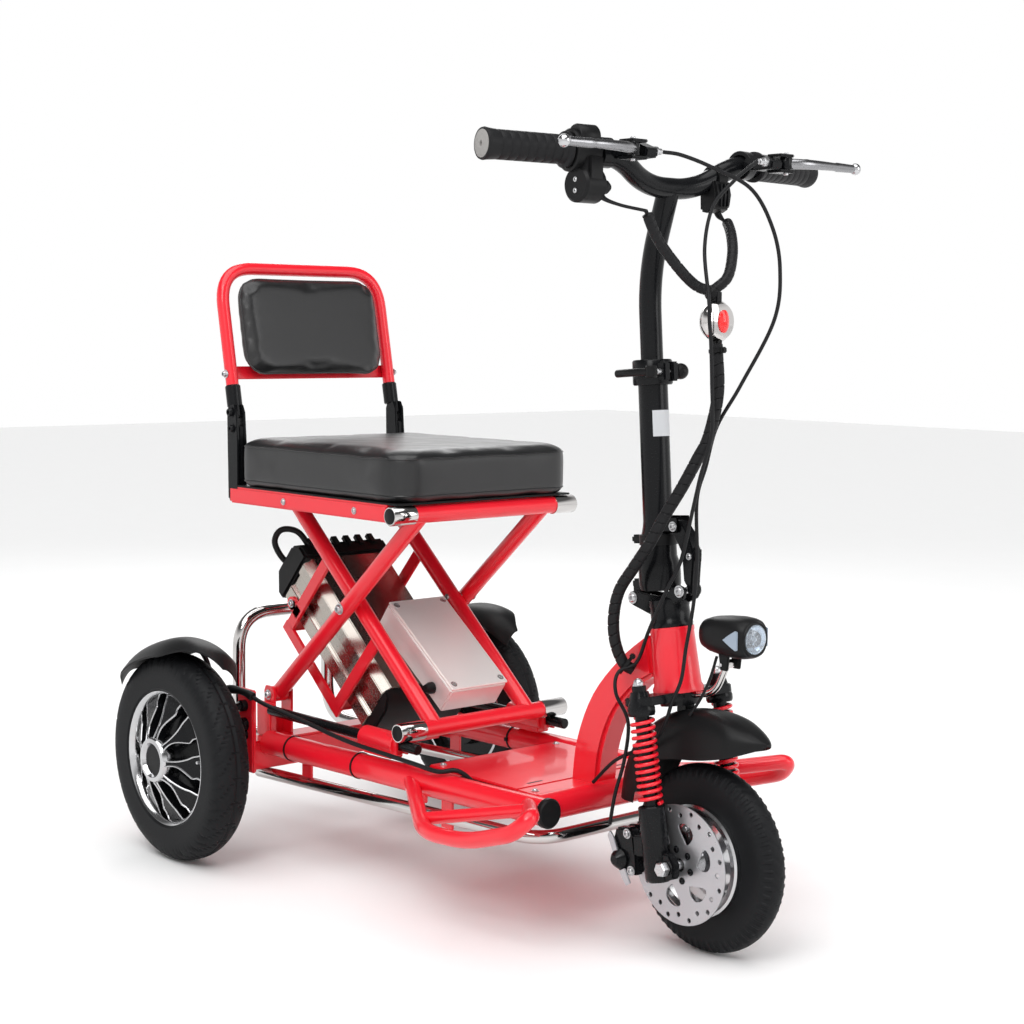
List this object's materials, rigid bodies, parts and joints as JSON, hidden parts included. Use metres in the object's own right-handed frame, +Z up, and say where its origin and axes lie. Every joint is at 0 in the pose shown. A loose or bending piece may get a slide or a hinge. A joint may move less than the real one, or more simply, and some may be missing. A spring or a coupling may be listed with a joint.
{
  "type": "mobility scooter",
  "caption": "Folding electric mobility scooter: scissor-lift padded seat with backrest, sprung front wheel, folding stem and handlebar, tubular frame, slung battery.",
  "frame": {"origin": "on the ground, under the middle of the bounding box", "axes": "+X forward, +Y to the rider's left, +Z up"},
  "size_m": [1.123, 0.699, 1.0784],
  "materials": {
    "frame_red": "gloss",
    "black_metal": "satin",
    "chrome": "polished",
    "black_plastic": "satin",
    "tyre_rubber": "matte",
    "wheel_metal": "polished",
    "disc_steel": "brushed",
    "leatherette": "soft gloss",
    "brushed_aluminium": "brushed",
    "lever_metal": "satin",
    "grip_rubber": "matte",
    "cable_black": "matte",
    "lens_clear": "clear",
    "button_orange": "gloss"
  },
  "bodies": {
    "frame": {"side_tube_right": "frame_red", "side_tube_left": "frame_red", "front_cross_tube": "frame_red", "rear_beam": "frame_red", "deck_plate": "frame_red", "gooseneck": "frame_red", "motor_lead": "cable_black", "foot_loop_right": "frame_red", "foot_loop_left": "frame_red", "under_rail": "chrome", "slide_rod_right": "black_metal", "slide_rod_left": "black_metal", "carry_hoop": "chrome", "rear_fender_right": "black_plastic", "rear_fender_left": "black_plastic"},
    "rear_wheel_right": {"rear_tyre_right": "tyre_rubber", "rear_hub_right": "wheel_metal"},
    "rear_wheel_left": {"rear_tyre_left": "tyre_rubber", "rear_hub_left": "wheel_metal"},
    "outer_lift": {"outer_lift_frame": "frame_red"},
    "inner_lift": {"inner_lift_frame": "frame_red", "battery_case": "brushed_aluminium", "battery_cap": "black_plastic", "controller_case": "brushed_aluminium"},
    "sliders": {"slider_right": "frame_red", "slider_left": "frame_red"},
    "seat": {"seat_frame": "frame_red", "seat_cushion": "leatherette"},
    "backrest": {"backrest_frame": "frame_red", "backrest_pad": "leatherette"},
    "fork": {"fork_crown": "black_metal", "fold_base": "black_metal", "front_fender": "black_plastic", "spring_right": "frame_red", "spring_left": "frame_red"},
    "headlight": {"headlight_body": "black_plastic", "headlight_lens": "lens_clear"},
    "fork_slider": {"fork_lower": "black_metal", "brake_calliper": "black_metal"},
    "front_wheel": {"front_tyre": "tyre_rubber", "front_hub": "wheel_metal", "brake_disc": "disc_steel"},
    "stem": {"stem_lower": "black_metal", "stem_clamp": "black_metal"},
    "latch": {"fold_latch": "black_metal"},
    "clamp_lever": {"clamp_lever": "black_metal"},
    "handlebar": {"stem_upper": "black_metal", "handlebar": "black_metal", "grip_left": "grip_rubber", "throttle_body": "black_plastic", "switch_body": "black_plastic", "indicator_light": "chrome", "loom": "cable_black", "switch_leads": "cable_black", "brake_cable_left": "cable_black", "brake_cable_right": "cable_black"},
    "throttle": {"throttle_grip": "grip_rubber"},
    "lever_right": {"brake_lever_right": "lever_metal"},
    "lever_left": {"brake_lever_left": "lever_metal"},
    "light_switch": {"light_button": "button_orange"}
  },
  "joints": [
    {"name": "rear_wheel_right_spin", "type": "hinge", "parent": "frame", "child": "rear_wheel_right", "pos_m": [-0.4, -0.2975, 0.1615], "axis": [0, 1, 0], "continuous": true},
    {"name": "rear_wheel_left_spin", "type": "hinge", "parent": "frame", "child": "rear_wheel_left", "pos_m": [-0.4, 0.2975, 0.1615], "axis": [0, 1, 0], "continuous": true},
    {"name": "lift_fold", "type": "hinge", "parent": "frame", "child": "outer_lift", "pos_m": [-0.39, 0, 0.24], "axis": [0, 1, 0], "range_deg": [0, 27]},
    {"name": "lift_cross", "type": "hinge", "parent": "outer_lift", "child": "inner_lift", "pos_m": [-0.2085, 0, 0.3985], "axis": [0, 1, 0], "range_deg": [-54, 0]},
    {"name": "lift_foot", "type": "hinge", "parent": "inner_lift", "child": "sliders", "pos_m": [-0.027, 0, 0.24], "axis": [0, 1, 0], "range_deg": [0, 27]},
    {"name": "seat_level", "type": "hinge", "parent": "outer_lift", "child": "seat", "pos_m": [-0.027, 0, 0.557], "axis": [0, 1, 0], "range_deg": [-27, 0]},
    {"name": "backrest_fold", "type": "hinge", "parent": "seat", "child": "backrest", "pos_m": [-0.448, 0, 0.69], "axis": [0, 1, 0], "range_deg": [0, 85]},
    {"name": "steer", "type": "hinge", "parent": "frame", "child": "fork", "pos_m": [0.3746, 0, 0.347], "axis": [-0.1685, 0, 0.9857], "range_deg": [-40, 40], "deforming": ["loom", "brake_cable_left", "brake_cable_right"]},
    {"name": "headlight_tilt", "type": "hinge", "parent": "fork", "child": "headlight", "pos_m": [0.462, 0, 0.392], "axis": [0, 1, 0], "range_deg": [-15, 20]},
    {"name": "fork_travel", "type": "slide", "parent": "fork", "child": "fork_slider", "axis": [-0.1685, 0, 0.9857], "range_m": [0, 0.03], "stiffness_N_per_m": 9000, "deforming": ["spring_right", "spring_left", "brake_cable_left"]},
    {"name": "front_wheel_spin", "type": "hinge", "parent": "fork_slider", "child": "front_wheel", "pos_m": [0.4345, 0, 0.127], "axis": [0, 1, 0], "continuous": true},
    {"name": "stem_fold", "type": "hinge", "parent": "fork", "child": "stem", "pos_m": [0.303, 0, 0.463], "axis": [0, 1, 0], "range_deg": [-72, 0], "deforming": ["loom", "brake_cable_left", "brake_cable_right"]},
    {"name": "latch_swing", "type": "hinge", "parent": "stem", "child": "latch", "pos_m": [0.372, 0, 0.566], "axis": [0, 1, 0], "range_deg": [-50, 0]},
    {"name": "stem_height", "type": "slide", "parent": "stem", "child": "handlebar", "axis": [-0.0732, 0, 0.9973], "range_m": [-0.07, 0.06], "deforming": ["loom", "brake_cable_left", "brake_cable_right"]},
    {"name": "clamp_open", "type": "hinge", "parent": "stem", "child": "clamp_lever", "pos_m": [0.3446, -0.031, 0.7713], "axis": [-0.0732, 0, 0.9973], "range_deg": [0, 90]},
    {"name": "throttle_twist", "type": "hinge", "parent": "handlebar", "child": "throttle", "pos_m": [0.356, -0.112, 1.05], "axis": [-0.1881, -0.9821, 0.0104], "range_deg": [0, 60], "stiffness_Nm_per_rad": 0.3},
    {"name": "brake_right", "type": "hinge", "parent": "handlebar", "child": "lever_right", "pos_m": [0.418, -0.146, 1.05], "axis": [0, 0, 1], "range_deg": [0, 20], "stiffness_Nm_per_rad": 1.5},
    {"name": "brake_left", "type": "hinge", "parent": "handlebar", "child": "lever_left", "pos_m": [0.418, 0.146, 1.05], "axis": [0, 0, 1], "range_deg": [-20, 0], "stiffness_Nm_per_rad": 1.5},
    {"name": "light_press", "type": "slide", "parent": "handlebar", "child": "light_switch", "axis": [1, 0, 0], "range_m": [0, 0.003], "stiffness_N_per_m": 300}
  ],
  "couplings": [
    {"joint": "lift_cross", "follows": "lift_fold", "ratio": -2},
    {"joint": "lift_foot", "follows": "lift_fold", "ratio": 1},
    {"joint": "seat_level", "follows": "lift_fold", "ratio": -1},
    {"joint": "stem_fold", "follows": "lift_fold", "ratio": -2.6667}
  ]
}
